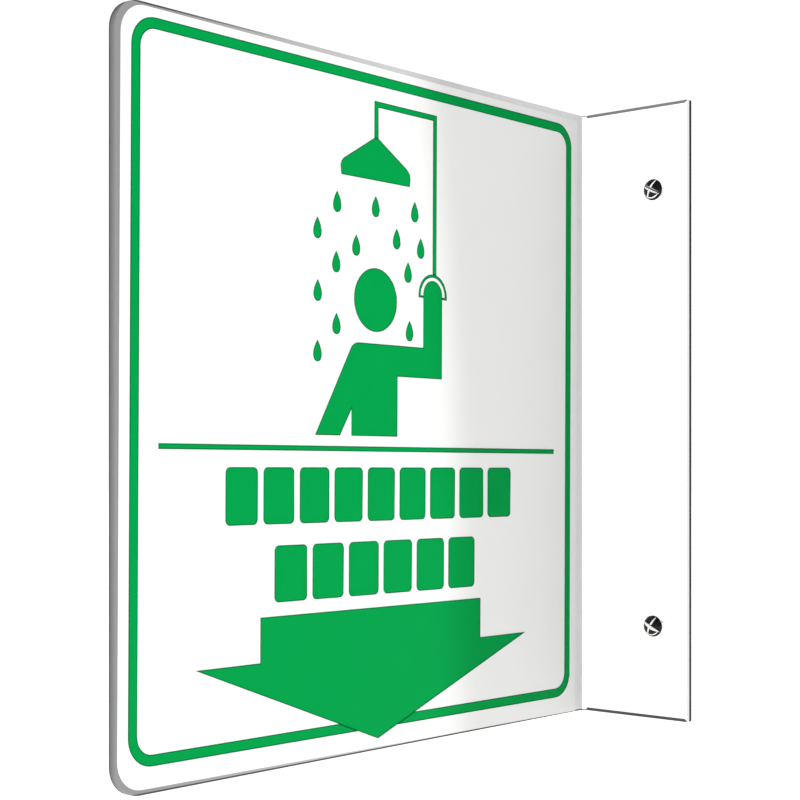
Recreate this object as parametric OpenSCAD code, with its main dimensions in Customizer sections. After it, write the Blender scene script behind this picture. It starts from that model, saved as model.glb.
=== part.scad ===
// Projecting wall sign: one clear acrylic sheet, bent at a right angle, with the same artwork
// in cut film on both faces of its panel, and two screws through its flange.
// Origin: on the wall, midway between the screws. +Y runs into the wall and +Z is up.
// The panel stands out along -Y and the flange runs along +X.

/* [Panel] */
// Clear width of the panel, from the front of the flange to the outer edge
panel_w = 203.2; // [150:0.2:305]
// Height of the panel and of the flange
panel_h = 203.2; // [150:0.2:305]
// Thickness of the acrylic sheet
sheet_t = 2.5; // [2:0.1:5]
// Radius of the two outer corners
corner_r = 8; // [4:0.5:20]
// Inside radius of the bend
bend_r = 1.5; // [0.5:0.1:3]

/* [Flange] */
// Clear width of the flange, from the face of the panel to the free edge
flange_w = 41.5; // [35:0.5:60]
// Distance from the face of the panel to the screws
screw_x = 28.4; // [12:0.1:30]
// Spacing of the screws
screw_spacing = 144.5; // [60:0.1:170]
// Height of the point midway between the screws, above the middle of the panel
screw_rise = 1.2; // [0:0.1:4]
// Radius of the clearance holes
hole_r = 2.4; // [2.2:0.1:3]

/* [Screws] */
// Radius of the thread
thread_r = 1.75; // [1.6:0.05:2.1]
// Radius of the plain neck under the head
neck_r = 1.4; // [1:0.05:1.5]
// Radius of the head
head_r = 3.5; // [3.2:0.1:4.5]
// Height of the head
head_h = 2.4; // [1.8:0.1:3]
// Depth of the screw in the wall, with its point
screw_depth = 7; // [6:0.5:40]
// Turn of the crossed slots
slot_turn = -28; // [-90:1:90]

/* [Film] */
// Thickness of each layer of film
film_t = 0.1; // [0.05:0.01:0.3]
// Clear rim of acrylic around the front's white film, at its outer, top and bottom edges
face_rim = 1.2; // [0.6:0.1:2.5]
// Clear strip of acrylic between the front's white film and the flange
bend_rim = 4; // [3:0.5:8]
// Corner radius of the front's white film
face_r = 8; // [4:0.5:16]
// Clear rim around the rear's white film
rear_rim = 0.4; // [0.3:0.1:2.5]
// Tilt of the front's film, as it was laid by hand
film_tilt = -0.35; // [-1:0.05:1]
// Drop of the front's film below the middle of the panel
film_drop = 0.35; // [0:0.05:0.5]

/* [Border] */
// Width of the border line
border_line = 3; // [1:0.1:3.5]
// Outer corner radius of the border
border_r = 8; // [4:0.5:20]
// Gap between the sides of the white film and the border
border_gap = 3.4; // [2:0.1:8]
// Height of the border, as a share of the height of the white film
border_share = 0.96; // [0.8:0.01:0.98]
// Rise of the border above the middle of the panel
border_rise = 1.6; // [0:0.1:1.8]

/* [Artwork] */
// Width of the lines of the supply pipe and the pull rod
pipe_line = 1.8; // [1:0.1:3]
// Length of each water drop
drop_l = 6.2; // [4:0.1:7]
// Width of each water drop
drop_w = 3.4; // [2:0.1:4]
// Radius of the figure's head
figure_head_r = 9.4; // [6:0.1:10]
// Width of the figure's arm
arm_w = 8.8; // [6:0.1:10]
// Length of the divider
divider_l = 172; // [120:1:176]
// Width of the divider
divider_line = 1.5; // [1:0.1:3]
// Height of the legend blocks
legend_h = 15.8; // [8:0.1:17]
// Gap between the legend blocks
legend_gap = 2.2; // [0.8:0.1:4]
// Width of the arrow's shaft
shaft_w = 96.4; // [60:0.2:120]
// Width of the arrow's head
arrow_w = 143.6; // [124:0.2:160]

/* [Hidden] */
$fn = 96;
eps = 0.01; // how far a cutter runs past the faces it cuts

white = [0.97, 0.97, 0.96];
green = [0.01, 0.65, 0.31];
clear = [0.85, 0.88, 0.88, 0.4];
steel = [0.16, 0.16, 0.17];

// Sheet and film faces, all measured from the origin on the wall
FRONT = 1;
REAR = -1;
front_x = -screw_x;
rear_x = front_x - sheet_t;
free_x = front_x + flange_w;
outer_y = -sheet_t - panel_w;
screw_z = screw_spacing / 2;
mid_z = -screw_rise; // the middle of the panel
face_w = panel_w - face_rim - bend_rim;
face_h = panel_h - 2 * face_rim;
art_y = -sheet_t - bend_rim - face_w / 2;

// The artwork's own sizes are for a panel this wide, and it scales with a larger or smaller one
art_base = 203.2;
art_scale = min(panel_w, panel_h) / art_base;

// Pictogram: the axis of the riser, shower head and figure, and the pipe's runs
riser_x = -2.8;
rod_x = 24;
pipe_top = 90.4;
rose_w = 30.6; // the shower head's greatest width
rose_base_w = 30; // its width along the spray face
rose_top = 79.4;
rose_bottom = 66.9;
rose_shoulder_r = 3.2;
rose_shoulder_y = 69.2;
rose_slope = 60; // from the shoulder's side round to the start of its sloping top

// Where each water drop's centre lies
drops = [[-19.5, 58.8], [-3, 59.2], [14.6, 59.6], [-27.6, 50.4], [-11.4, 47], [6.4, 50.6], [17.4, 48.8],
    [-19.8, 41.4], [11.6, 41], [-27.4, 32.6], [-19.6, 23.6], [12.4, 23.4], [-27.4, 15.4]];

// Figure: a torso with one spread leg, and an arm that bends up to the handle
figure_head_y = 31.6;
arm_x = 23.2;
hand_y = 35;
shoulder_y = 18.7;
shoulder_r = 4;
elbow_y = 9.4;
torso_left = -13.1;
torso_right = 7;
hem_y = -8.6;
leg_left = -28.2;
leg_right = -18;
crotch_y = -0.8;
lean = 60; // slope of the spread leg's outer side

// Pull handle: a bow over the hand, closed by a foot on each side of the arm
bow_r = 6.65;
bow_y = 34.75;
bow_line = 0.95;
foot_y = 33.9;
foot_line = 0.75;

divider_y = -12.4;
upper_row = [9, 125, -25.7]; // count of blocks, width of the row and its middle height
lower_row = [6, 88, -47.4];
block_r = 1.6;

arrow_x = -1.1;
arrow_top = -59.1;
arrow_wing = -71.6;
arrow_tip = -97.9;

// Screw details
head_rim = 0.5; // straight side of the head, below its dome
slot_w = [1.3, 0.7]; // the two crossed slots
slot_depth = 1.7;
point_l = 5;

// Points along an arc from angle a to angle b
function arc(centre, r, a, b, steps = 16) =
    [for (i = [0:steps]) centre + r * [cos(a + (b - a) * i / steps), sin(a + (b - a) * i / steps)]];

// A centred rectangle with true round corners
module round_rect(w, h, r) {
    square([w - 2 * r, h], center = true);
    square([w, h - 2 * r], center = true);
    for (x = [-1, 1], y = [-1, 1])
        translate([x * (w / 2 - r), y * (h / 2 - r)]) circle(r);
}

// ---- The acrylic sheet ----

// Plan of the bent sheet, seen from above
module sheet_plan() {
    bend_x = front_x + bend_r;
    bend_y = -sheet_t - bend_r;
    translate([rear_x, outer_y]) square([sheet_t, bend_y - outer_y]);
    translate([bend_x, -sheet_t]) square([free_x - bend_x, sheet_t]);
    translate([bend_x, bend_y]) intersection() {
        difference() {
            circle(bend_r + sheet_t);
            circle(bend_r);
        }
        translate([-bend_r - sheet_t, 0]) square(bend_r + sheet_t);
    }
}

// What is cut away outside the round upper corner
module corner_waste() {
    translate([rear_x - eps, outer_y, panel_h / 2]) rotate([90, 0, 90])
        linear_extrude(sheet_t + 2 * eps) difference() {
            translate([-eps, -corner_r]) square(corner_r + eps);
            translate([corner_r, -corner_r]) circle(corner_r);
        }
}

module acrylic_sheet() {
    color(clear) difference() {
        translate([0, 0, mid_z]) difference() {
            translate([0, 0, -panel_h / 2]) linear_extrude(panel_h) sheet_plan();
            corner_waste();
            mirror([0, 0, 1]) corner_waste();
        }
        for (up = [-1, 1])
            translate([0, eps, up * screw_z]) rotate([90, 0, 0]) cylinder(r = hole_r, h = sheet_t + 2 * eps);
    }
}

// ---- Film, drawn flat as it reads: x towards the reader's right and y up ----

// Lays flat artwork on one face of the panel, on top of so many other layers of film
module film(side, layers_below) {
    front = side == FRONT;
    place = [(front ? front_x : rear_x) + side * layers_below * film_t, art_y, mid_z - (front ? film_drop : 0)];
    translate(place) rotate([90, 0, side * 90])
        linear_extrude(film_t) rotate(front ? film_tilt : 0) children();
}

module green_film(side) {
    color(green) film(side, 1) scale(art_scale) children();
}

// A white film, with square corners on the side of the bend: 1 is the right and -1 is the left
module white_shape(w, h, r, bend_side) {
    round_rect(w, h, r);
    translate([bend_side > 0 ? 0 : -w / 2, -h / 2]) square([w / 2, h]);
}

// The front's white film stops short of the bend, and the rear's runs up to it
module white_face(side) {
    w = panel_w - rear_rim - bend_r;
    color(white) film(side, 0) {
        if (side == FRONT) white_shape(face_w, face_h, face_r, 1);
        else translate([art_y - outer_y - rear_rim - w / 2, 0])
            white_shape(w, panel_h - 2 * rear_rim, corner_r - rear_rim, -1);
    }
}

// A ring inside the edges of the white film, open where the arrow's tip runs through it
module border(side) {
    w = face_w - 2 * border_gap;
    h = border_share * face_h;
    color(green) film(side, 1) difference() {
        translate([0, border_rise]) difference() {
            round_rect(w, h, border_r);
            round_rect(w - 2 * border_line, h - 2 * border_line, border_r - border_line);
        }
        scale(art_scale) arrow_shape();
    }
}

// Riser, arm and pull rod in one bent line
module pipe_shape() {
    half = pipe_line / 2;
    difference() {
        union() {
            translate([riser_x - half, rose_top]) square([pipe_line, pipe_top - rose_top]);
            translate([riser_x - half, pipe_top - pipe_line]) square([rod_x - riser_x + pipe_line, pipe_line]);
            translate([rod_x - half, bow_y]) square([pipe_line, pipe_top - bow_y]);
        }
        translate([arm_x, bow_y]) circle(bow_r);
    }
}

function mirrored(points) = [for (i = [len(points) - 1:-1:0]) [-points[i].x, points[i].y]];

// Shower head: a sloping top with round shoulders over a flat spray face
module rose_shape() {
    right = concat([[rose_base_w / 2, rose_bottom]],
        arc([rose_w / 2 - rose_shoulder_r, rose_shoulder_y], rose_shoulder_r, 0, rose_slope),
        [[pipe_line / 2, rose_top]]);
    translate([riser_x, 0]) polygon(concat(right, mirrored(right)));
}

// A drop: pointed at the top, widest two thirds of the way down
module drop_shape() {
    widest = 0.7698; // greatest value of sin(t) * sin(t / 2)
    steps = 32;
    polygon([for (i = [0:steps - 1]) let (t = 360 * i / steps)
        [drop_w / 2 * sin(t) * sin(t / 2) / widest, drop_l / 2 * cos(t)]]);
}

module drops_shape() {
    for (place = drops) translate(place) drop_shape();
}

// The raised arm with its round hand
module arm_shape() {
    translate([arm_x - arm_w / 2, elbow_y]) square([arm_w, hand_y - elbow_y]);
    translate([arm_x, hand_y]) circle(arm_w / 2);
}

module handle_shape() {
    inner_r = bow_r - bow_line;
    difference() {
        union() {
            translate([arm_x, bow_y]) circle(bow_r);
            translate([arm_x - bow_r, foot_y]) square([2 * bow_r, bow_y - foot_y]);
        }
        intersection() {
            translate([arm_x, bow_y]) circle(inner_r);
            translate([arm_x - inner_r, foot_y + foot_line]) square(2 * inner_r);
        }
        translate([arm_x - 2 * bow_r, foot_y - 2 * bow_r]) square([4 * bow_r, 2 * bow_r]);
        arm_shape();
    }
}

module figure_head_shape() {
    translate([riser_x, figure_head_y]) circle(figure_head_r);
}

// Torso, spread leg and upper arm in one outline, with a round shoulder that meets the leaning side
module torso_shape() {
    shoulder_x = leg_left + (shoulder_y - shoulder_r + shoulder_r * cos(lean) - hem_y) / tan(lean)
        + shoulder_r * sin(lean);
    polygon(concat(
        [[leg_left, hem_y], [leg_right, hem_y], [torso_left, crotch_y], [torso_left, hem_y],
            [torso_right, hem_y], [torso_right, elbow_y], [arm_x, elbow_y], [arm_x, shoulder_y]],
        arc([shoulder_x, shoulder_y - shoulder_r], shoulder_r, 90, 90 + lean)));
}

module body_shape() {
    torso_shape();
    arm_shape();
}

module divider_shape() {
    translate([0, divider_y]) square([divider_l, divider_line], center = true);
}

// A row of plain round-cornered blocks in the place of a line of words
module legend_shape(row) {
    count = row[0];
    block_w = (row[1] + legend_gap) / count - legend_gap;
    for (i = [0:count - 1])
        translate([(i - (count - 1) / 2) * (block_w + legend_gap), row[2]])
            round_rect(block_w, legend_h, block_r);
}

module arrow_shape() {
    half = [shaft_w / 2, arrow_w / 2];
    right = [[0, arrow_tip], [half[1], arrow_wing], [half[0], arrow_wing], [half[0], arrow_top]];
    left = [[-half[0], arrow_top], [-half[0], arrow_wing], [-half[1], arrow_wing]];
    translate([arrow_x, 0]) polygon(concat(right, left));
}

// ---- Screws ----

// A pan-head wall screw, its axis along z: the wall is at z = 0 and the head at the positive end
module screw() {
    dome_h = head_h - head_rim;
    dome_r = (head_r * head_r + dome_h * dome_h) / (2 * dome_h);
    color(steel) {
        difference() {
            translate([0, 0, sheet_t]) {
                cylinder(r = head_r, h = head_rim);
                intersection() {
                    translate([0, 0, head_h - dome_r]) sphere(dome_r);
                    translate([0, 0, head_rim]) cylinder(r = head_r + eps, h = head_h);
                }
            }
            for (i = [0, 1])
                translate([0, 0, sheet_t + head_h]) rotate(slot_turn + 90 * i)
                    cube([3 * head_r, slot_w[i], 2 * slot_depth], center = true);
        }
        cylinder(r = neck_r, h = sheet_t);
        translate([0, 0, point_l - screw_depth]) cylinder(r = thread_r, h = screw_depth - point_l);
        translate([0, 0, -screw_depth]) cylinder(r1 = 0, r2 = thread_r, h = point_l);
    }
}

// The screw in the upper hole (up is 1) or the lower one (up is -1)
module wall_screw(up) {
    translate([0, 0, up * screw_z]) rotate([90, 0, 0]) screw();
}

acrylic_sheet();
white_face(FRONT);  // white_face_front
white_face(REAR);  // white_face_rear
border(FRONT);  // border_front
border(REAR);  // border_rear
green_film(FRONT) pipe_shape();  // shower_pipe_front
green_film(REAR) pipe_shape();  // shower_pipe_rear
green_film(FRONT) rose_shape();  // shower_head_front
green_film(REAR) rose_shape();  // shower_head_rear
green_film(FRONT) drops_shape();  // water_drops_front
green_film(REAR) drops_shape();  // water_drops_rear
green_film(FRONT) handle_shape();  // pull_handle_front
green_film(REAR) handle_shape();  // pull_handle_rear
green_film(FRONT) figure_head_shape();  // figure_head_front
green_film(REAR) figure_head_shape();  // figure_head_rear
green_film(FRONT) body_shape();  // figure_body_front
green_film(REAR) body_shape();  // figure_body_rear
green_film(FRONT) divider_shape();  // divider_front
green_film(REAR) divider_shape();  // divider_rear
green_film(FRONT) legend_shape(upper_row);  // legend_upper_front
green_film(REAR) legend_shape(upper_row);  // legend_upper_rear
green_film(FRONT) legend_shape(lower_row);  // legend_lower_front
green_film(REAR) legend_shape(lower_row);  // legend_lower_rear
green_film(FRONT) arrow_shape();  // arrow_front
green_film(REAR) arrow_shape();  // arrow_rear
wall_screw(1);  // upper_screw
wall_screw(-1);  // lower_screw
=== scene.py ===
"""Looks of a projecting wall sign: a clear acrylic sheet bent at a right angle, with cut film on both
faces of its panel and two pan-head screws through its flange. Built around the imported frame, in metres."""

import math

import bmesh
import bpy
from mathutils import Matrix, Vector


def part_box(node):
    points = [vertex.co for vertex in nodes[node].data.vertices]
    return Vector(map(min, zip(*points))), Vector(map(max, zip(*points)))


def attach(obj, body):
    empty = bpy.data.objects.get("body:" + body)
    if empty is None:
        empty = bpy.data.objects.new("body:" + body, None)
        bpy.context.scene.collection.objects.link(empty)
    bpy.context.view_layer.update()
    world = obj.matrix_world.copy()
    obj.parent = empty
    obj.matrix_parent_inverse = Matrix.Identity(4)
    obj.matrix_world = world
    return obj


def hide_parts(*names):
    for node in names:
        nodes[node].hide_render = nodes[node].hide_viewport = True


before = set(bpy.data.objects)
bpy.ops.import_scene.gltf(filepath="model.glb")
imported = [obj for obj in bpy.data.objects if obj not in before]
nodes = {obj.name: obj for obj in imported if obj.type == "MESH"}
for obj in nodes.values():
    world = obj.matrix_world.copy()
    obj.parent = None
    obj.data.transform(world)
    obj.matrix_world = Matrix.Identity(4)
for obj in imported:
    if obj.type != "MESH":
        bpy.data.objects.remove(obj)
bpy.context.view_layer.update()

SCENE = bpy.context.scene
MM = 0.001

# ---- Places, read from the frame ----

sheet_low, sheet_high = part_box("acrylic_sheet")
face_low, face_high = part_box("white_face_front")
front_x = face_low.x  # the panel's front face
sheet_t = front_x - sheet_low.x
SIDES = {"front": 1, "rear": -1}

# Sizes that no box gives
BEND_R = 1.5 * MM  # inside radius of the bend
CORNER_R = 8 * MM
HOLE_R = 2.4 * MM
LINE_WIDTHS = (0.55 * MM, 0.45 * MM)  # how far from the edge the panel's painted shade line starts and is full


# ---- Node helpers ----

BUMP_DEPTH = 0.02 * MM
NOISE_ROUGHNESS = 0.55


def new_material(name):
    """A material with a Principled shader. Returns the material, its node tree and the shader."""
    material = bpy.data.materials.new(name)
    material.use_nodes = True
    tree = material.node_tree
    tree.nodes.clear()
    shader = tree.nodes.new("ShaderNodeBsdfPrincipled")
    output = tree.nodes.new("ShaderNodeOutputMaterial")
    tree.links.new(shader.outputs["BSDF"], output.inputs["Surface"])
    return material, tree, shader


def place(tree, stretch=(1, 1, 1)):
    """Object coordinates, stretched along each axis."""
    coords = tree.nodes.new("ShaderNodeTexCoord")
    mapping = tree.nodes.new("ShaderNodeMapping")
    mapping.inputs["Scale"].default_value = stretch
    tree.links.new(coords.outputs["Object"], mapping.inputs["Vector"])
    return mapping.outputs["Vector"]


def split(tree, vector):
    """The three parts of a vector, as outputs named X, Y and Z."""
    node = tree.nodes.new("ShaderNodeSeparateXYZ")
    tree.links.new(vector, node.inputs["Vector"])
    return node.outputs


def noise(tree, vector, size, detail=3.0):
    """Noise whose features are about size metres across, from 0 to 1."""
    node = tree.nodes.new("ShaderNodeTexNoise")
    node.inputs["Scale"].default_value = 1 / size
    node.inputs["Detail"].default_value = detail
    node.inputs["Roughness"].default_value = NOISE_ROUGHNESS
    tree.links.new(vector, node.inputs["Vector"])
    return node.outputs["Fac"]


def spread(tree, value, low, high, start=0.3, end=0.7):
    """value from start to end, spread over low to high."""
    node = tree.nodes.new("ShaderNodeMapRange")
    node.inputs["From Min"].default_value = start
    node.inputs["From Max"].default_value = end
    node.inputs["To Min"].default_value = low
    node.inputs["To Max"].default_value = high
    tree.links.new(value, node.inputs["Value"])
    return node.outputs["Result"]


def mix(tree, factor, a, b):
    """Colour a at factor 0 and b at factor 1. Each is a colour or another node's output."""
    node = tree.nodes.new("ShaderNodeMix")
    node.data_type = "RGBA"
    tree.links.new(factor, node.inputs["Factor"])
    for socket, colour in ((node.inputs[6], a), (node.inputs[7], b)):
        if isinstance(colour, bpy.types.NodeSocket):
            tree.links.new(colour, socket)
        else:
            socket.default_value = (*colour, 1)
    return node.outputs[2]


def bump(tree, shader, height, strength):
    """Small relief in the surface, from a height output."""
    node = tree.nodes.new("ShaderNodeBump")
    node.inputs["Strength"].default_value = strength
    node.inputs["Distance"].default_value = BUMP_DEPTH
    tree.links.new(height, node.inputs["Height"])
    tree.links.new(node.outputs["Normal"], shader.inputs["Normal"])


# ---- Materials ----

def grey(value):
    return (value, value, value)


def film_material(name, colour, shade, specular, stuck_side=0):
    """Gloss vinyl: faint mottle in its colour, orange peel in its surface. The side that is stuck down,
    where one is given as the sign of its normal's x, is covered in grey adhesive."""
    material, tree, shader = new_material(name)
    vector = place(tree)
    mottle = spread(tree, noise(tree, vector, 14 * MM), 0, 1)
    grain = spread(tree, noise(tree, vector, 0.6 * MM, 2), 0, 0.5)
    tone = mix(tree, grain, mix(tree, mottle, colour, shade), shade)
    if stuck_side:
        coords = tree.nodes.new("ShaderNodeTexCoord")
        facing = split(tree, coords.outputs["Normal"])["X"]
        stuck = spread(tree, facing, 0, 1, 0.4 * stuck_side, 0.6 * stuck_side)
        adhesive = mix(tree, spread(tree, noise(tree, vector, 2 * MM), 0, 1), grey(0.66), grey(0.62))
        tone = mix(tree, stuck, tone, adhesive)
    tree.links.new(tone, shader.inputs["Base Color"])
    tree.links.new(spread(tree, noise(tree, vector, 6 * MM), 0.28, 0.33), shader.inputs["Roughness"])
    shader.inputs["Specular IOR Level"].default_value = specular
    bump(tree, shader, noise(tree, vector, 1.3 * MM, 2), 0.12)
    return material


def acrylic_material():
    """Clear acrylic with faint smudges and hairline marks."""
    material, tree, shader = new_material("clear_acrylic_face")
    vector = place(tree)
    cast = spread(tree, noise(tree, vector, 40 * MM), 0, 1)
    tree.links.new(mix(tree, cast, (0.985, 0.992, 0.99), (0.97, 0.984, 0.98)), shader.inputs["Base Color"])
    tree.links.new(spread(tree, noise(tree, vector, 9 * MM, 4), 0, 0.02), shader.inputs["Roughness"])
    shader.inputs["Transmission Weight"].default_value = 1
    shader.inputs["IOR"].default_value = 1.49
    bump(tree, shader, noise(tree, place(tree, (0.05, 0.05, 1)), 1.2 * MM, 2), 0.02)
    return material


def cut_edge_material():
    """Satin saw-cut acrylic, opaque, with painted light and shade: a tone for each of its places stands in
    for the light that the clear sheet pipes and the shade inside it.
    """
    material, tree, shader = new_material("satin_cut_edge_painted_light")
    vector = place(tree)
    at = split(tree, vector)

    def ramp(axis, start, end):
        """From 0 at start to 1 at end, along an axis."""
        return spread(tree, at[axis], 0, 1, start, end)

    # Painted light and shade: the panel is pale at its front and dark at its back, and paler towards the
    # bend
    back_x = front_x - sheet_t
    outer_painted_shade = mix(tree, ramp("X", back_x, front_x), grey(0.12), grey(0.27))
    bend_light_and_shade = mix(tree, ramp("X", back_x, front_x - 0.3 * MM), grey(0.2), grey(0.86))
    on_panel = mix(tree, ramp("Y", sheet_low.y + 10 * MM, -10 * MM), outer_painted_shade, bend_light_and_shade)
    # A dark line of painted shade along the back
    back_shade_line = spread(tree, at["X"], 1, 0, back_x + 0.35 * MM, back_x + 0.5 * MM)
    on_panel = mix(tree, back_shade_line, on_panel, grey(0.03))

    # A line of painted shade runs along the top and bottom, and fades out along the top, away from the outer
    # corner
    upper_half = ramp("Z", -10 * MM, 10 * MM)
    top_shade_line = mix(tree, ramp("Y", sheet_low.y + 15 * MM, sheet_low.y + 65 * MM), grey(0.05), on_panel)
    shade_line_tone = mix(tree, upper_half, grey(0.04), top_shade_line)
    from_middle = tree.nodes.new("ShaderNodeMath")
    from_middle.operation = "ABSOLUTE"
    tree.links.new(spread(tree, at["Z"], -1, 1, sheet_low.z, sheet_high.z), from_middle.inputs[0])
    half_height = (sheet_high.z - sheet_low.z) / 2
    line_start, line_end = (1 - width / half_height for width in LINE_WIDTHS)
    line = spread(tree, from_middle.outputs["Value"], 0, 1, line_start, line_end)
    on_panel = mix(tree, line, on_panel, shade_line_tone)

    # Painted shade makes the flange's edges dark. Its free end has a white half of painted light, and a
    # black one of painted shade by the wall
    flange_painted_shade = mix(tree, upper_half, grey(0.06), grey(0.25))
    on_flange = ramp("X", front_x + BEND_R, front_x + BEND_R + 0.5 * MM)
    tone = mix(tree, on_flange, on_panel, flange_painted_shade)
    free_end_light_and_shade = mix(tree, ramp("Y", -1.45 * MM, -1.25 * MM), grey(0.98), grey(0.0))
    tone = mix(tree, ramp("X", sheet_high.x - 0.3 * MM, sheet_high.x - 0.1 * MM), tone, free_end_light_and_shade)

    saw_marks = noise(tree, place(tree, (0.15, 0.15, 1)), 0.25 * MM, 3)
    worn = spread(tree, noise(tree, vector, 3 * MM), 0, 0.08)
    tree.links.new(mix(tree, worn, tone, grey(0.3)), shader.inputs["Base Color"])
    tree.links.new(spread(tree, saw_marks, 0.35, 0.55), shader.inputs["Roughness"])
    shader.inputs["Specular IOR Level"].default_value = 0.3
    bump(tree, shader, saw_marks, 0.15)
    return material


def metal_material(name, colour, shade, metallic, roughness, grain_size, strength, specular=0.5):
    """Steel with a fine grain in its colour, roughness and surface."""
    material, tree, shader = new_material(name)
    vector = place(tree)
    grain = spread(tree, noise(tree, vector, grain_size, 4), 0, 1)
    tree.links.new(mix(tree, grain, colour, shade), shader.inputs["Base Color"])
    shader.inputs["Metallic"].default_value = metallic
    shader.inputs["Specular IOR Level"].default_value = specular
    tree.links.new(spread(tree, noise(tree, vector, 2 * grain_size), *roughness), shader.inputs["Roughness"])
    bump(tree, shader, noise(tree, vector, grain_size / 2, 3), strength)
    return material


WHITE = ((0.9, 0.9, 0.888), (0.89, 0.89, 0.876), 0.25)  # colour, shade and specular level
white_films = {}
for side, sign in SIDES.items():
    white_films[side] = film_material(f"white_vinyl_{side}", *WHITE, stuck_side=-sign)
green_film = film_material("green_vinyl", (0.0, 0.325, 0.064), (0.0, 0.312, 0.061), 0.02)
green_edge = film_material("green_vinyl_cut_edge", (0.0, 0.15, 0.042), (0.0, 0.135, 0.037), 0.02)
acrylic = acrylic_material()
acrylic_edge = cut_edge_material()
black_steel = metal_material("black_coated_steel", (0.002, 0.002, 0.002), (0.012, 0.011, 0.011), 0.0,
    (0.16, 0.28), 0.4 * MM, 0.08, specular=0.2)
# Bright steel, worn bare in the slots and painted near white there as a highlight; on the head's crescent it
# is a painted highlight alone
bright_steel_and_highlight = metal_material("bright_slot_steel_and_painted_highlight", (0.93, 0.93, 0.92), (0.85, 0.85, 0.84), 0.0,
    (0.3, 0.45), 0.3 * MM, 0.15)
zinc_steel = metal_material("zinc_plated_steel", (0.9, 0.9, 0.91), (0.8, 0.81, 0.82), 0.1,
    (0.3, 0.45), 0.5 * MM, 0.12)

# Which material is which on the sheet, on a film and on a screw
CLEAR, SATIN_PAINTED_LIGHT = 0, 1
CUT = 1
BLACK, BRIGHT_AND_HIGHLIGHT, ZINC = 0, 1, 2


# ---- Pieces ----

def as_object(name, bm, materials):
    """An object in the scene, made from a bmesh."""
    mesh = bpy.data.meshes.new(name)
    bm.to_mesh(mesh)
    bm.free()
    for material in materials:
        mesh.materials.append(material)
    made = bpy.data.objects.new(name, mesh)
    SCENE.collection.objects.link(made)
    return made


def add_piece(name, bm, materials, slot, *replaced):
    """A visual piece that rides the part's one body and stands in for the CAD nodes it replaces."""
    piece = as_object(name, bm, materials)
    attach(piece, "root")
    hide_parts(*replaced)
    return piece


def arc(centre, radius, start, end, steps):
    """Points along an arc, with angles in degrees."""
    angles = [math.radians(start + (end - start) * i / steps) for i in range(steps + 1)]
    return [(centre[0] + radius * math.cos(a), centre[1] + radius * math.sin(a)) for a in angles]


# The sheet is made flat, as it is before it is bent: x runs from the panel's outer edge to the
# flange's free edge, y is up and z goes through the sheet, from its inner face at 0.
BURIED = 0.02 * MM  # how far the films' undersides sit below the sheet's surface
EDGE_R = 0.15 * MM  # radius of the eased edges
EDGE_STEPS = 3
PAINTED_RIM_W = 2.6 * MM  # width of the satin rim on the panel's inner side, from the cut edge, opaque and painted with shade
SHADE_LINE_W = 1.0 * MM  # width of the satin line along the flange's top and bottom edges, painted dark as shade
BEND_STEPS = 16
STRIP_STEPS = 6  # how many steps into the bend the satin strip beside the film reaches
HOLE_STEPS = 48
CORNER_STEPS = 12
LEAST_ARC = 0.05 * MM  # radius that is left of a corner however far it is inset
ON_PLANE = 1e-7  # metres within which a vertex counts as lying on a cutting plane
SHARP_ON_FLANGE, SHARP_ELSEWHERE = math.radians(10), math.radians(20)

bend_centre = Vector((front_x + BEND_R, -sheet_t - BEND_R, 0))
panel_len = bend_centre.y - sheet_low.y
bend_len = math.radians(90) * (BEND_R + sheet_t / 2)
flange_len = sheet_high.x - bend_centre.x
screw_low, screw_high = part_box("upper_screw")
screw_x = (screw_low.x + screw_high.x) / 2
screw_z = (screw_low.z + screw_high.z) / 2
strip_start = face_high.y - sheet_low.y - 1 * MM  # a little way under the film
strip_end = panel_len + bend_len * STRIP_STEPS / BEND_STEPS


def bend(point):
    """Where a point of the flat sheet comes to lie."""
    along, up, depth = point
    if along <= panel_len:
        return Vector((front_x - depth, sheet_low.y + along, up))
    if along >= panel_len + bend_len:
        return Vector((bend_centre.x + along - panel_len - bend_len, depth - sheet_t, up))
    turn = math.radians(90) * (along - panel_len) / bend_len
    radius = BEND_R + depth
    return bend_centre + Vector((-radius * math.cos(turn), radius * math.sin(turn), up))


def sheet_outline(inset):
    """The flat sheet's outline, inset all round."""
    right = panel_len + bend_len + flange_len
    points = []
    for from_left, radius, start in ((True, CORNER_R, 90), (True, CORNER_R, 180),
            (False, 2 * EDGE_R, 270), (False, 2 * EDGE_R, 0)):
        reach = max(radius, inset + LEAST_ARC)
        centre_x = reach if from_left else right - reach
        centre_y = sheet_high.z - reach if start in (0, 90) else sheet_low.z + reach
        points += arc((centre_x, centre_y), reach - inset, start, start + 90, CORNER_STEPS)
    return points


def from_edge(along, up):
    """How far a point of the flat sheet lies from the nearest edge, round corners included."""
    across = min(along, panel_len + bend_len + flange_len - along)
    upright = min(sheet_high.z - up, up - sheet_low.z)
    if along < CORNER_R and upright < CORNER_R:
        return CORNER_R - math.hypot(CORNER_R - along, CORNER_R - upright)
    return min(across, upright)


def edge_profile():
    """The eased edge from the inner face to the outer one, as pairs of inset and depth."""
    thick = sheet_t + 2 * BURIED
    quarter = [math.radians(90) * i / EDGE_STEPS for i in range(EDGE_STEPS + 1)]
    inner = [(EDGE_R * (1 - math.sin(a)), EDGE_R * (1 - math.cos(a))) for a in quarter]
    outer = [(EDGE_R * (1 - math.cos(a)), thick - EDGE_R * (1 - math.sin(a))) for a in quarter]
    return inner + outer


def hole_outline(up):
    """The outline of a clearance hole, as a function of its inset."""
    centre = (panel_len + bend_len + screw_x - bend_centre.x, up)
    last = 360 * (HOLE_STEPS - 1) / HOLE_STEPS
    return lambda inset: arc(centre, HOLE_R + inset, 0, last, HOLE_STEPS - 1)


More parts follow.
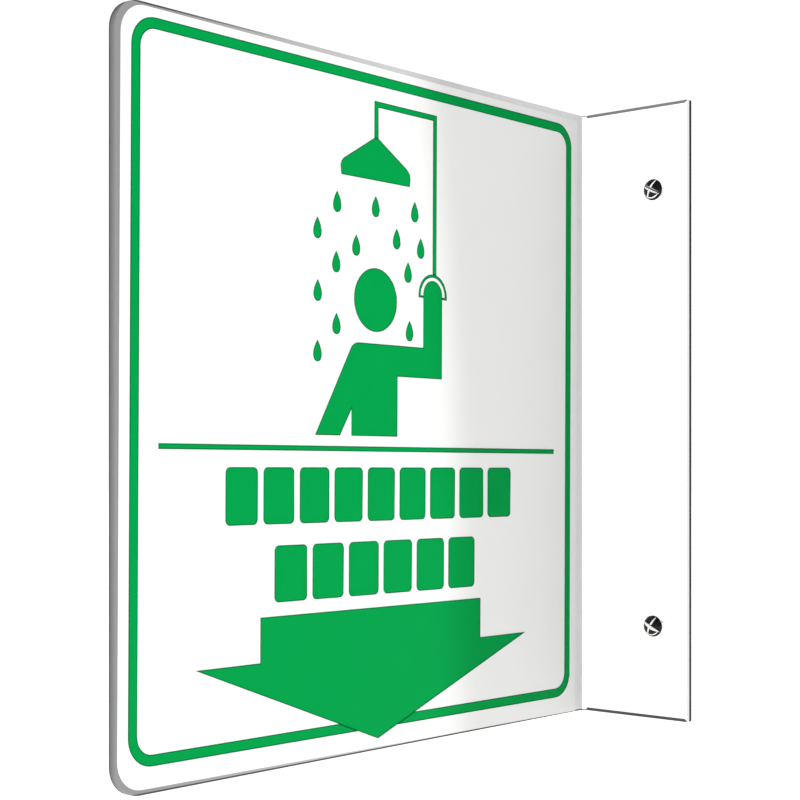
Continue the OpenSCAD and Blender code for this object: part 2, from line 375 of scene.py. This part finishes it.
def is_painted_satin(along, up, depth):
    """Whether a face at a point of the flat sheet is satin, opaque and painted with light and shade. The
    others are clear.
    """
    inset = from_edge(along, up)
    past_bend = along > panel_len + bend_len
    on_rim = along < panel_len and inset < PAINTED_RIM_W
    on_strip = strip_start < along < strip_end
    on_line = past_bend and min(sheet_high.z - up, up - sheet_low.z) < SHADE_LINE_W
    on_inner_face = depth < 0
    return inset < EDGE_R or on_inner_face and (on_rim or on_strip or on_line)


def sheet_mesh():
    """The sheet's mesh, made flat and then bent."""
    bm = bmesh.new()
    rims = [[], []]
    outlines = [(sheet_outline, [(PAINTED_RIM_W, 0), (SHADE_LINE_W, 0), *edge_profile()])]
    outlines += [(hole_outline(up), edge_profile()) for up in (screw_z, -screw_z)]
    for outline, sections in outlines:
        rings = []
        for inset, depth in sections:
            rings.append([bm.verts.new((x, y, depth - BURIED)) for x, y in outline(inset)])
        for low, high in zip(rings, rings[1:]):
            for i in range(len(low)):
                bm.faces.new((low[i - 1], low[i], high[i], high[i - 1]))
        for rim, ring in zip(rims, (rings[0], rings[-1])):
            rim += [bm.edges.get((ring[i - 1], ring[i])) for i in range(len(ring))]
    for rim in rims:
        bmesh.ops.triangle_fill(bm, use_beauty=True, edges=rim)
    for cut in (strip_start, *(panel_len + bend_len * i / BEND_STEPS for i in range(BEND_STEPS + 1))):
        bmesh.ops.bisect_plane(bm, geom=bm.verts[:] + bm.edges[:] + bm.faces[:], dist=ON_PLANE,
            plane_co=(cut, 0, 0), plane_no=(1, 0, 0))
    # The satin faces are opaque and carry painted light and shade
    for face in bm.faces:
        face.smooth = True
        face.material_index = SATIN_PAINTED_LIGHT if is_painted_satin(*face.calc_center_median()) else CLEAR
    for vert in bm.verts:
        vert.co = bend(vert.co)
    bmesh.ops.recalc_face_normals(bm, faces=bm.faces)
    if bm.calc_volume(signed=True) < 0:
        bmesh.ops.reverse_faces(bm, faces=bm.faces)
    for edge in bm.edges:
        # The clear flange stays flat up to its eased edges, so that it does not bend the view near them
        on_flange = all(vert.co.x > bend_centre.x - 0.01 * MM for vert in edge.verts)
        edge.smooth = edge.calc_face_angle() < (SHARP_ON_FLANGE if on_flange else SHARP_ELSEWHERE)
    return bm


sheet = add_piece("clear_sheet", sheet_mesh(), [acrylic, acrylic_edge], "clear_acrylic", "acrylic_sheet")
sheet.modifiers.new("even_normals", "WEIGHTED_NORMAL").keep_sharp = True

# Green film: the CAD's outline, with a narrow cut edge that is darker and thins out onto the white film
CUT_EDGE = 0.3 * MM
TURN_DOWN = 0.08 * MM
WELD = 1e-6  # metres within which vertices are merged
GREEN = ("border", "shower_pipe", "shower_head", "water_drops", "pull_handle", "figure_head", "figure_body",
    "divider", "legend_upper", "legend_lower", "arrow")


def film_mesh(node, side):
    """A film's mesh from the CAD, with its cut edge. side is the sign of the x that it faces."""
    bm = bmesh.new()
    bm.from_mesh(nodes[node].data)
    bmesh.ops.remove_doubles(bm, verts=bm.verts, dist=WELD)
    top = [face for face in bm.faces if face.normal.x * side > 0.9]
    rim = {vert for face in top for vert in face.verts
        if any(other.normal.x * side < 0.1 for other in vert.link_faces)}
    edge = bmesh.ops.inset_region(bm, faces=top, thickness=CUT_EDGE, use_even_offset=True, use_boundary=True)
    for face in edge["faces"]:
        face.material_index = CUT
    for vert in rim:
        vert.co.x -= side * TURN_DOWN
    return bm


for side, sign in SIDES.items():
    nodes[f"white_face_{side}"].data.materials.clear()
    nodes[f"white_face_{side}"].data.materials.append(white_films[side])
    for art in GREEN:
        node = f"{art}_{side}"
        add_piece(f"{node}_film", film_mesh(node, sign), [green_film, green_edge], "green_film", node)

# ---- Screws ----

HEAD_R = (screw_high.x - screw_low.x) / 2
HEAD_H = -screw_low.y - sheet_t
SCREW_DEPTH = screw_high.y
HEAD_RIM = 0.5 * MM
NECK_R = 1.4 * MM
THREAD_R = 1.75 * MM
CORE_R = 1.2 * MM
PITCH = 1.4 * MM
POINT_L = 5 * MM
FADE_IN = 0.8 * MM  # how far below the wall plane the thread reaches its full height
FADE_OUT = 1.6  # how fast the thread shrinks at the point, against the core
RIDGE_SHARE = 0.28  # half of a thread ridge's width, as a share of the pitch
RING = 64
DOME_STEPS = 24
SHANK_STEP = 0.11 * MM
SLOTS = ((-28, 1.3 * MM), (62, 0.7 * MM))  # turn in degrees and width of each slot
SLOT_DEPTH = 1.7 * MM
SLOT_FLOOR = 0.3  # width of a slot's floor, as a share of its opening
HIGHLIGHT_SHIFT = 0.5 * MM
HIGHLIGHT_INNER, HIGHLIGHT_OUTER = 2.65 * MM, 2.95 * MM  # radii of the bright crescent at the bottom of the head, a painted highlight
SCREW_MATERIALS = [black_steel, bright_steel_and_highlight, zinc_steel]


def screw_radius(height, turn):
    """Radius of the threaded shank at a height below the wall plane, for a turn from 0 to 1."""
    depth = -height
    to_point = min(1, (SCREW_DEPTH - depth) / POINT_L)
    phase = (height / PITCH - turn) % 1
    ridge = max(0, 1 - abs(phase - 0.5) / RIDGE_SHARE)
    start = min(1, depth / FADE_IN)
    core = CORE_R * to_point
    return core + ridge * start * (THREAD_R - CORE_R) * min(1, FADE_OUT * to_point)


def head_profile():
    """The head and the neck from the top down, as pairs of radius and height."""
    dome_h = HEAD_H - HEAD_RIM
    dome_r = (HEAD_R ** 2 + dome_h ** 2) / (2 * dome_h)
    top = sheet_t + HEAD_H
    lip = sheet_t + HEAD_RIM
    profile = []
    for i in range(1, DOME_STEPS + 1):
        r = (HEAD_R - 0.12 * MM) * i / DOME_STEPS
        profile.append((r, top - dome_r + math.sqrt(dome_r ** 2 - r ** 2)))
    # The rounded lip, the head's underside and the neck
    profile += [(HEAD_R - 0.03 * MM, lip - 0.02 * MM), (HEAD_R, lip - 0.1 * MM)]
    profile += [(HEAD_R, sheet_t + 0.08 * MM), (HEAD_R - 0.08 * MM, sheet_t)]
    profile += [(NECK_R + 0.1 * MM, sheet_t), (NECK_R, sheet_t - 0.1 * MM), (NECK_R, 0.05 * MM)]
    return profile


def add_ring(bm, height, radius_at):
    """A ring of vertices around z, with a radius for each turn from 0 to 1."""
    ring = []
    for i in range(RING):
        radius = radius_at(i / RING)
        angle = math.tau * i / RING
        ring.append(bm.verts.new((radius * math.cos(angle), radius * math.sin(angle), height)))
    return ring


def screw_mesh():
    """A screw along z, with the wall at z 0 and the head at the positive end."""
    bm = bmesh.new()
    rings = [add_ring(bm, height, lambda turn: radius) for radius, height in head_profile()]
    steps = round(SCREW_DEPTH / SHANK_STEP)
    for height in (-SCREW_DEPTH * k / steps for k in range(steps)):
        rings.append(add_ring(bm, height, lambda turn: screw_radius(height, turn)))
    cap, tip = bm.verts.new((0, 0, sheet_t + HEAD_H)), bm.verts.new((0, 0, -SCREW_DEPTH))
    for upper, lower in zip(rings, rings[1:]):
        for i in range(RING):
            bm.faces.new((upper[i - 1], upper[i], lower[i], lower[i - 1]))
    for i in range(RING):
        bm.faces.new((cap, rings[0][i], rings[0][i - 1]))
        bm.faces.new((tip, rings[-1][i - 1], rings[-1][i]))
    bmesh.ops.recalc_face_normals(bm, faces=bm.faces)
    for face in bm.faces:
        face.smooth = True
        x, y, z = face.calc_center_median()
        if z < sheet_t - 0.05 * MM:
            face.material_index = ZINC
        elif math.hypot(x, y - HIGHLIGHT_SHIFT) > HIGHLIGHT_INNER + HIGHLIGHT_SHIFT and math.hypot(x, y) < HIGHLIGHT_OUTER:
            face.material_index = BRIGHT_AND_HIGHLIGHT  # a painted highlight: a bright crescent near the bottom of the head
    return bm


def slot_cutter(turn, width):
    """A wedge along the screw's diameter, with bright walls, worn bare and painted near white as a
    highlight, and paint left on its narrow floor.
    """
    bm = bmesh.new()
    bmesh.ops.create_cube(bm, size=1)
    for face in bm.faces:
        face.material_index = BLACK if face.normal.z < -0.5 else BRIGHT_AND_HIGHLIGHT
    # The wedge is centred on the top of the head, where it is as wide as the slot
    for vert in bm.verts:
        taper = 2 - SLOT_FLOOR if vert.co.z > 0 else SLOT_FLOOR
        vert.co = Vector((vert.co.x * 3 * HEAD_R, vert.co.y * width * taper, vert.co.z * 2 * SLOT_DEPTH))
    bmesh.ops.rotate(bm, verts=bm.verts, matrix=Matrix.Rotation(math.radians(turn), 3, "Z"))
    bmesh.ops.translate(bm, verts=bm.verts, vec=(0, 0, sheet_t + HEAD_H))
    return bm


def cut_screw():
    """The screw's final mesh, with its slots."""
    blank = as_object("blank", screw_mesh(), SCREW_MATERIALS)
    cutters = [as_object("cutter", slot_cutter(turn, width), SCREW_MATERIALS) for turn, width in SLOTS]
    for cutter in cutters:
        modifier = blank.modifiers.new("slot", "BOOLEAN")
        modifier.operation = "DIFFERENCE"
        modifier.solver = "EXACT"
        modifier.object = cutter
    mesh = bpy.data.meshes.new_from_object(blank.evaluated_get(bpy.context.evaluated_depsgraph_get()))
    for made in (blank, *cutters):
        bpy.data.objects.remove(made)
    return mesh


screw = cut_screw()
screws = bpy.data.collections.new("screws")
for name, up in (("upper_screw", 1), ("lower_screw", -1)):
    bm = bmesh.new()
    bm.from_mesh(screw)
    for vert in bm.verts:
        x, y, z = vert.co
        vert.co = Vector((x + screw_x, -z, y + up * screw_z))
    bmesh.ops.recalc_face_normals(bm, faces=bm.faces)
    piece = add_piece(f"pan_head_{name}", bm, SCREW_MATERIALS, "screw_steel", name)
    piece.modifiers.new("even_normals", "WEIGHTED_NORMAL").keep_sharp = True
    screws.objects.link(piece)

# ---- Camera ----

CAMERA_OFFSET = Vector((0.334, -0.4735, -0.015))
CAMERA_TURN = math.radians(41.4)

# The inside corner between the panel and the flange, half way up
corner = Vector((front_x, -sheet_t, (sheet_low.z + sheet_high.z) / 2))
data = bpy.data.cameras.new("camera")
data.sensor_width = 36
data.lens = 75.7
data.shift_y = 0.071
data.clip_start = 0.01
data.clip_end = 100
camera = bpy.data.objects.new("camera", data)
camera.location = corner + CAMERA_OFFSET
camera.rotation_euler = (math.radians(90), 0, CAMERA_TURN)
SCENE.collection.objects.link(camera)
SCENE.camera = camera

# ---- Light ----

SCENE.view_settings.view_transform = "Standard"
SCENE.view_settings.look = "None"

world = bpy.data.worlds.new("studio")
SCENE.world = world
world.use_nodes = True
tree = world.node_tree
tree.nodes.clear()
output = tree.nodes.new("ShaderNodeOutputWorld")
backdrop = tree.nodes.new("ShaderNodeBackground")
tree.links.new(backdrop.outputs["Background"], output.inputs["Surface"])
rays = tree.nodes.new("ShaderNodeLightPath")
upward = split(tree, tree.nodes.new("ShaderNodeTexCoord").outputs["Generated"])["Z"]

# What a ray meets beyond the part depends on its kind: a view through the acrylic, a reflection, plain
# ambient light, or the camera's own view
AMBIENT = 0.64
BACKDROP = 1.05
seen_through = mix(tree, spread(tree, upward, 0, 1, 0.85, 0.98), grey(1.3), grey(0.4))
mirrored = mix(tree, spread(tree, upward, 0, 1, 0.0, 0.4), grey(0.25), grey(0.02))
colour = mix(tree, rays.outputs["Is Glossy Ray"], grey(AMBIENT), mirrored)
colour = mix(tree, rays.outputs["Is Transmission Ray"], colour, seen_through)
colour = mix(tree, spread(tree, rays.outputs["Diffuse Depth"], 0, 1, 0, 1), colour, grey(AMBIENT))
colour = mix(tree, rays.outputs["Is Camera Ray"], colour, grey(BACKDROP))
tree.links.new(colour, backdrop.inputs["Color"])
world.cycles.sampling_method = "NONE"


def add_light(name, kind, energy, location, target, **settings):
    """A light at a location, aimed at a target."""
    data = bpy.data.lights.new(name, kind)
    data.energy = energy
    for key, value in settings.items():
        setattr(data, key, value)
    light = bpy.data.objects.new(name, data)
    light.location = location
    light.rotation_mode = "QUATERNION"
    light.rotation_quaternion = (Vector(target) - Vector(location)).to_track_quat("-Z", "Y")
    SCENE.collection.objects.link(light)
    return light


# The key light's soft edge falls across the panel. Beyond it, towards the bend, the panel has only the
# studio's ambient light
key_place = corner + Vector((1.15, -0.45, 0.1))
key_edge = corner + Vector((0, -0.066, 0))
key_aim = key_edge + 0.8 * Vector((0, -0.999, -0.045))
key_angle = (key_edge - key_place).angle(key_aim - key_place)
add_light("key", "SPOT", 19, key_place, key_aim, spot_size=2 * key_angle, spot_blend=0.02,
    shadow_soft_size=0.01)

rear_aim = corner + Vector((0, -0.1, 0))
wall_aim = Vector((screw_x, SCREW_DEPTH / 2, 0))
FILLS = (
    ("rear_fill", 5, rear_aim, (-1.2, -0.9, 0.3)),
    ("shank_fill", 20, wall_aim, (0.9, 0.5, 0)),
    ("head_fill", 9, wall_aim, (0.5, -0.9, 0.1)),
)
for name, energy, target, offset in FILLS:
    fill = add_light(name, "AREA", energy, target + Vector(offset), target, size=0.5)
    fill.visible_glossy = False
    fill.visible_transmission = False
    if target == wall_aim:
        fill.light_linking.receiver_collection = screws  # the two fills at the wall light the screws alone

# ---- Floor ----

FLOOR_SIZE = 30
FLOOR_DROP = 0.7  # metres from the sign's bottom edge down to the floor
floor_bm = bmesh.new()
bmesh.ops.create_grid(floor_bm, x_segments=2, y_segments=2, size=FLOOR_SIZE)
floor_material, tree, shader = new_material("pale_floor")
vector = place(tree)
tree.links.new(mix(tree, noise(tree, vector, 0.6), grey(0.93), grey(0.9)), shader.inputs["Base Color"])
shader.inputs["Roughness"].default_value = 0.9
shader.inputs["Specular IOR Level"].default_value = 0.0
shader.inputs["Emission Color"].default_value = (1, 1, 1, 1)
shader.inputs["Emission Strength"].default_value = 0.6
floor = as_object("floor", floor_bm, [floor_material])
floor.location.z = sheet_low.z - FLOOR_DROP
